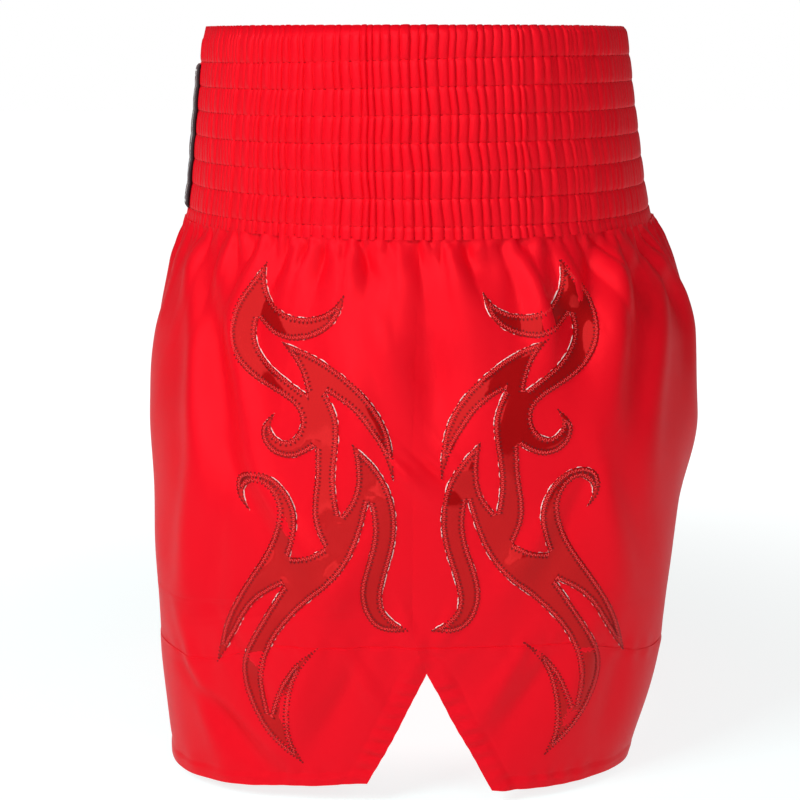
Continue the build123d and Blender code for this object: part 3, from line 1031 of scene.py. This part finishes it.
def build_zigzag(half, side, front, field, tree):
    """Close zigzag stitches over the cut edge, with dark discs of painted shade where the needle holes are.
    """
    line = motif_outline(front, 0.3)
    closed = np.r_[line, line[:1]]
    into = inward(line)
    run = run_along(closed)
    total = 2 * int(run[-1] / STITCH_PITCH)
    rng = np.random.default_rng(500 + side + 7 * front)
    at = (np.arange(total) + rng.uniform(-0.12, 0.12, total)) * run[-1] / total
    turn = unit(point_at(at, run, np.r_[into, into[:1]]))
    inner_end = np.arange(total) % 2 == 1
    d = np.where(inner_end, 2.4, 0.25) + rng.uniform(-0.15, 0.15, total)
    spots = point_at(at, run, closed) + turn * d[:, None]
    keep = from_edge(tree, spots) > 0.45 * np.maximum(d, 0.1)
    keep &= inside_mask(spots, motif_outline(front, 1.0))
    far = np.roll(spots, -1, 0)
    lines = []
    for f, h, w in ((0.04, -0.05, 0.35), (0.33, 0.33, 1.0), (0.67, 0.33, 1.0), (0.96, -0.05, 0.35)):
        q = spots * (1 - f) + far * f
        lines.append((*on_side(field, side, q, film_height(from_edge(tree, q)) + h), THREAD_RADIUS * w))
    ahead = unit(lines[-1][0] - lines[0][0])
    rings = []
    for p, n, r in lines:
        across = np.cross(n, ahead)
        rings += [p + across * r, p + n * r * 0.7, p - across * r]
    rings = np.stack(rings, 1)
    verts, faces = [], []
    for i in np.nonzero(keep & np.roll(keep, -1))[0]:
        b = len(verts)
        verts.extend(rings[i])
        for k in range(3):
            for j in range(3):
                a0, a1 = b + 3 * k + j, b + 3 * k + (j + 1) % 3
                faces.append((a0, a1, a1 + 3, a0 + 3))
        faces.append((b + 2, b + 1, b))
        faces.append((b + 9, b + 10, b + 11))
    thread_faces = len(faces)
    # the needle holes: flat dark discs of painted shade on the film
    top = film_height(from_edge(tree, spots)) + 0.36
    p, n = on_side(field, side, spots, top)
    along = unit(on_side(field, side, spots + turn * 0.3, top)[0] - p)
    for i in np.nonzero(keep)[0]:
        across = np.cross(n[i], along[i])
        long, short = (0.72, 0.40) if inner_end[i] else (0.5, 0.42)
        faces.append(tuple(range(len(verts), len(verts) + 6)))
        for w in np.arange(6) * math.pi / 3:
            verts.append(p[i] + along[i] * long * math.cos(w) + across * short * math.sin(w))
    kinds = np.arange(len(faces)) >= thread_faces
    obj = make_mesh(f"{half}_vinyl_stitches", verts, faces, None, [THREAD_AND_GLINT, HOLE_SHADE], kinds, smooth=False)
    settle(obj, "gloss_vinyl")


for side_name, side in SIDES:
    field = height_field(side_name, side)
    for half_name, front in HALVES:
        build_cut_out(side_name, side, half_name, front, field)


# --- vents and hems
hem_runs = []
for side_name, side in SIDES:
    for half_name, front in HALVES:
        depth, q = patches[side_name, half_name]
        hem = q[ROWS_BODY:]
        levels = depth[ROWS_BODY:]
        n = grid_normals(hem)
        if n[3, -3 if front else 2, 0] * side < 0:
            n = -n
        down = lengths(hem, 0)
        row = [(point_at(down[-1, c] - HEM_TURN, down[:, c], hem[:, c]),
                point_at(down[-1, c] - HEM_TURN, down[:, c], n[:, c])) for c in range(COLUMNS + 1)]
        hem_runs.append(np.array(row).swapaxes(0, 1))
        # from here on the columns run from the vent
        if front:
            hem, n, levels = hem[:, ::-1], n[:, ::-1], levels[:, ::-1]
        row, strip = [], []
        for line, up, run, level in zip(hem, n, lengths(hem, 1), levels[:, 0]):
            if level >= VENT_TOP - 9:
                at = VENT_STITCHES
                if level <= VENT_TOP:
                    at = max(0.6, VENT_STITCHES * (1 - (VENT_TOP - level) / 9.0))
                row.append((point_at(at, run, line), point_at(at, run, up)))
            if level >= VENT_TOP + 2.0:
                at = np.array((0.3, 1.5, 4.0, 7.0, 9.5, 11.0))
                under = np.where(at > 1, 1.35, 1.1)
                strip.append(point_at(at, run, line) - point_at(at, run, up) * under[:, None])
        hem_runs.append(np.array(row).swapaxes(0, 1))
        obj = make_mesh(f"{side_name}_{half_name}_vent_strip", strip,
                        grid_faces(len(strip), 6, flip=(side > 0) == front),
                        np.stack(np.meshgrid(np.arange(6) * 2.2, np.arange(len(strip)) * 2.4), -1), [SATIN])
        thicken(obj, STRIP_CLOTH, 0.0)
        settle(obj, "hem_satin", f"{side_name}_{half_name}_vent_facing")
stitches("hem_stitches", hem_runs, 2.2, 0.9, 0.2, "hem_satin")


# --- front label and elastics
def build_label():
    half, top, bottom = 37.5, 14.8, LAST_ROW
    xx, dd = np.meshgrid(np.linspace(-half, half, 76), np.linspace(top, bottom, 82))
    g = np.zeros_like(xx)
    u = np.linspace(0, 0.35, 200)
    for i, d in enumerate(dd[:, 0]):
        run = run_along(leg_point(u, np.full_like(u, d)))
        g[i] = np.sign(xx[i]) * np.interp(np.abs(xx[i]), run, u) / 2
    p, n = band_ring(g, dd)
    p[..., 0] = np.where(np.abs(xx) < 1e-6, 0, p[..., 0])
    within = (dd % CHANNEL_PITCH) / CHANNEL_PITCH
    edge = np.minimum(half - np.abs(xx), np.minimum(dd - top, bottom - dd))
    lift = 3.1 + 0.45 * np.sin(math.pi * within) ** 0.7
    lift += 0.25 * field_noise(np.stack([xx, dd, 0 * xx], -1), 22, 900)
    lift -= 0.9 * np.exp(-edge / 0.9)
    fx = (xx[:-1, :-1] + xx[1:, 1:]).ravel() / 2
    fd = (dd[:-1, :-1] + dd[1:, 1:]).ravel() / 2
    inset = np.minimum(half - np.abs(fx), np.minimum(fd - top, bottom - fd))
    line = (inset > 3.2) & (inset < 4.4)
    dash = (inset > 5.6) & (inset < 6.6) & ((np.floor(fx / 3) + np.floor(fd / 3)) % 2 == 0)
    obj = make_mesh("label_patch", p + n * lift[..., None], grid_faces(*xx.shape, flip=True),
                    np.stack([xx, dd], -1), [LABEL_BLACK, LABEL_PALE], line | dash)
    thicken(obj, LABEL_CLOTH)
    settle(obj, "woven_label", "front_label")


def build_elastics():
    """One flat braid in each channel, between the outer cloth and the lining."""
    columns = 360
    g = np.linspace(-0.5, 0.5, columns, endpoint=False)
    for c in range(CHANNELS):
        middle = (c + 0.5) * CHANNEL_PITCH
        gg, dd = np.meshgrid(g, middle + np.array([-5.6, -3.0, 0.0, 3.0, 5.6]))
        p, n = band_ring(gg, dd)
        p = p - n * (0.9 + 0.25 * ring_noise(gg, 90, 60 + c))[..., None]
        obj = make_mesh(f"elastic_{c + 1}", p, grid_faces(5, columns, wrap=True, flip=True),
                        np.stack([820 * gg, dd], -1), [ELASTIC])
        thicken(obj, BRAID)
        settle(obj, "elastic", f"waist_elastic_{c + 1}")


build_label()
build_elastics()


# --- stage, light, camera
def stage_material_with_painted_shadow():
    """Pale floor that glows for the eye, less for the shorts, and a little less close to them as a painted
    shadow, lighter again right under their middle.
    """
    mat = bpy.data.materials.new("pale_floor_with_painted_shadow")
    mat.use_nodes = True
    tree = mat.node_tree
    link = tree.links.new
    surface = set_inputs(tree.nodes["Principled BSDF"], Base_Color=(0.24, 0.35, 0.35, 1), Roughness=0.9,
                         Specular_IOR_Level=0.0, Emission_Strength=1.0)
    length = add_node(tree, "VectorMath")
    length.operation = "LENGTH"
    link(add_node(tree, "TexCoord").outputs["Object"], length.inputs[0])
    rings = []
    # painted shadow: the glow the eye sees dips round the shorts and comes back under their middle
    for near, far, low, high in ((0.2, 0.7, 0.81, 1.0), (0.07, 0.15, 0.16, 0.0)):
        ring = add_node(tree, "MapRange", From_Min=near, From_Max=far, To_Min=low, To_Max=high)
        ring.interpolation_type = "SMOOTHSTEP"
        link(length.outputs["Value"], ring.inputs["Value"])
        rings.append(ring.outputs[0])
    ray = add_node(tree, "LightPath")
    unseen = add_node(tree, "MapRange", To_Min=0.4, To_Max=0.52)
    link(ray.outputs["Is Glossy Ray"], unseen.inputs["Value"])
    mix = add_node(tree, "Mix")
    link(ray.outputs["Is Camera Ray"], mix.inputs["Factor"])
    link(unseen.outputs[0], mix.inputs["A"])
    link(math_node(tree, "ADD", *rings), mix.inputs["B"])
    link(mix.outputs["Result"], surface.inputs["Emission Color"])
    return mat


floor = make_mesh("floor", [(-9000, -9000, 0), (9000, -9000, 0), (9000, 9000, 0), (-9000, 9000, 0)],
                  [(0, 1, 2, 3)], None, [stage_material_with_painted_shadow()], smooth=False)
floor.location.z = -0.3868

world = bpy.data.worlds.new("studio")
bpy.context.scene.world = world
world.use_nodes = True
sky = set_inputs(world.node_tree.nodes["Background"], Color=(1, 1, 1, 1))
seen = add_node(world.node_tree, "LightPath")
strength = add_node(world.node_tree, "MapRange", To_Min=0.12, To_Max=1.0)
world.node_tree.links.new(seen.outputs["Is Camera Ray"], strength.inputs["Value"])
world.node_tree.links.new(strength.outputs[0], sky.inputs["Strength"])

receivers = {name: bpy.data.collections.new(name) for name in ("glossy_pieces", "satin_pieces")}
for obj in bpy.context.scene.objects:
    if obj.type == "MESH" and obj.data.materials:
        satin = obj.data.materials[0] in (SATIN, BAND_SATIN)
        receivers["satin_pieces" if satin else "glossy_pieces"].objects.link(obj)

# area lights: place, width, height, brightness of the face, and the only pieces that mirror it;
# a light without such pieces lights everything and is mirrored by nothing
LIGHTS = [
    ("key_box", (1.08, -1.0, 0.8), 0.7, 0.7, 14.6, None),
    ("film_box", (1.75, -0.8, 1.0), 3.8, 3.6, 0.98, "glossy_pieces"),
    ("far_film_box", (-1.75, -0.8, 1.0), 3.8, 3.6, 0.8, "glossy_pieces"),
    ("satin_box", (1.25, -0.75, 0.95), 0.8, 0.8, 5.6, "satin_pieces"),
    ("front_box", (1.7, 0.0, 0.35), 2.6, 2.0, 0.44, None),
    ("fill_box", (1.6, 0.9, 0.6), 1.2, 1.2, 2.0, None),
]
for name, place, width, height, glow, pieces in LIGHTS:
    light = bpy.data.lights.new(name, "AREA")
    light.shape = "RECTANGLE"
    light.size, light.size_y = width, height
    light.energy = glow * math.pi * width * height
    box = bpy.data.objects.new(name, light)
    bpy.context.scene.collection.objects.link(box)
    box.location = place
    box.rotation_euler = (Vector((0, 0, -0.2)) - Vector(place)).to_track_quat("-Z", "Y").to_euler()
    box.visible_glossy = pieces is not None
    if pieces:
        box.visible_diffuse = False
        box.light_linking.receiver_collection = receivers[pieces]

camera_data = bpy.data.cameras.new("camera")
camera_data.sensor_width = 36
camera_data.lens = 83.7
camera = bpy.data.objects.new("camera", camera_data)
bpy.context.scene.collection.objects.link(camera)
camera.location = (1.050, -0.010, -0.005)
pitch = math.radians(11)
camera.rotation_euler = Vector((-math.cos(pitch), 0, -math.sin(pitch))).to_track_quat("-Z", "Y").to_euler()
bpy.context.scene.camera = camera
bpy.context.scene.view_settings.view_transform = "Standard"
